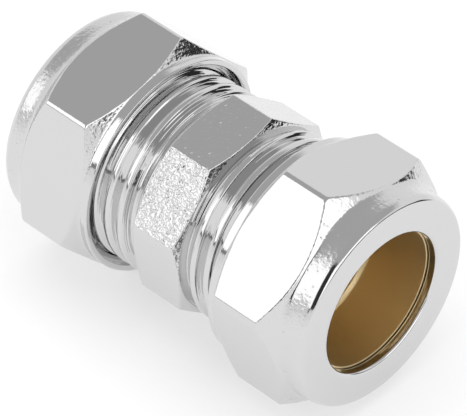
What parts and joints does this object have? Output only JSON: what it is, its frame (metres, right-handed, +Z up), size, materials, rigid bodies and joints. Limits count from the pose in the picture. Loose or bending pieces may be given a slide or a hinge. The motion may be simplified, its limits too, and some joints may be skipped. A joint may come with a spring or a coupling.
{
  "type": "compression tube coupling",
  "caption": "Straight coupling that joins two tubes end to end: threaded body with an octagonal middle, union nuts and olives.",
  "frame": {"origin": "middle of the body, on the axis of the tubes", "axes": "+X along the tubes, out of the right nut; +Z up, with the fitting lying level on one edge of each nut"},
  "size_m": [0.0406, 0.0266, 0.0266],
  "materials": {
    "chrome_plate": "bright plated over a forged and turned surface",
    "bare_brass": "turned"
  },
  "bodies": {
    "fitting_body": {"body": "chrome_plate"},
    "right_olive": {"olive_right": "bare_brass"},
    "right_nut": {"nut_right": "chrome_plate"},
    "left_olive": {"olive_left": "bare_brass"},
    "left_nut": {"nut_left": "chrome_plate"}
  },
  "joints": [
    {"name": "right_nut_travel", "type": "slide", "parent": "fitting_body", "child": "right_olive", "axis": [1, 0, 0], "range_m": [0, 0.00544]},
    {"name": "right_nut_turn", "type": "hinge", "parent": "right_olive", "child": "right_nut", "pos_m": [0.0142, 0, 0], "axis": [1, 0, 0], "range_deg": [0, 1080]},
    {"name": "left_nut_travel", "type": "slide", "parent": "fitting_body", "child": "left_olive", "axis": [-1, 0, 0], "range_m": [0, 0.00544]},
    {"name": "left_nut_turn", "type": "hinge", "parent": "left_olive", "child": "left_nut", "pos_m": [-0.0142, 0, 0], "axis": [-1, 0, 0], "range_deg": [0, 1080]}
  ],
  "couplings": [
    {"joint": "right_nut_turn", "follows": "right_nut_travel", "rad_per_m": 3463.2},
    {"joint": "left_nut_turn", "follows": "left_nut_travel", "rad_per_m": 3463.2}
  ]
}
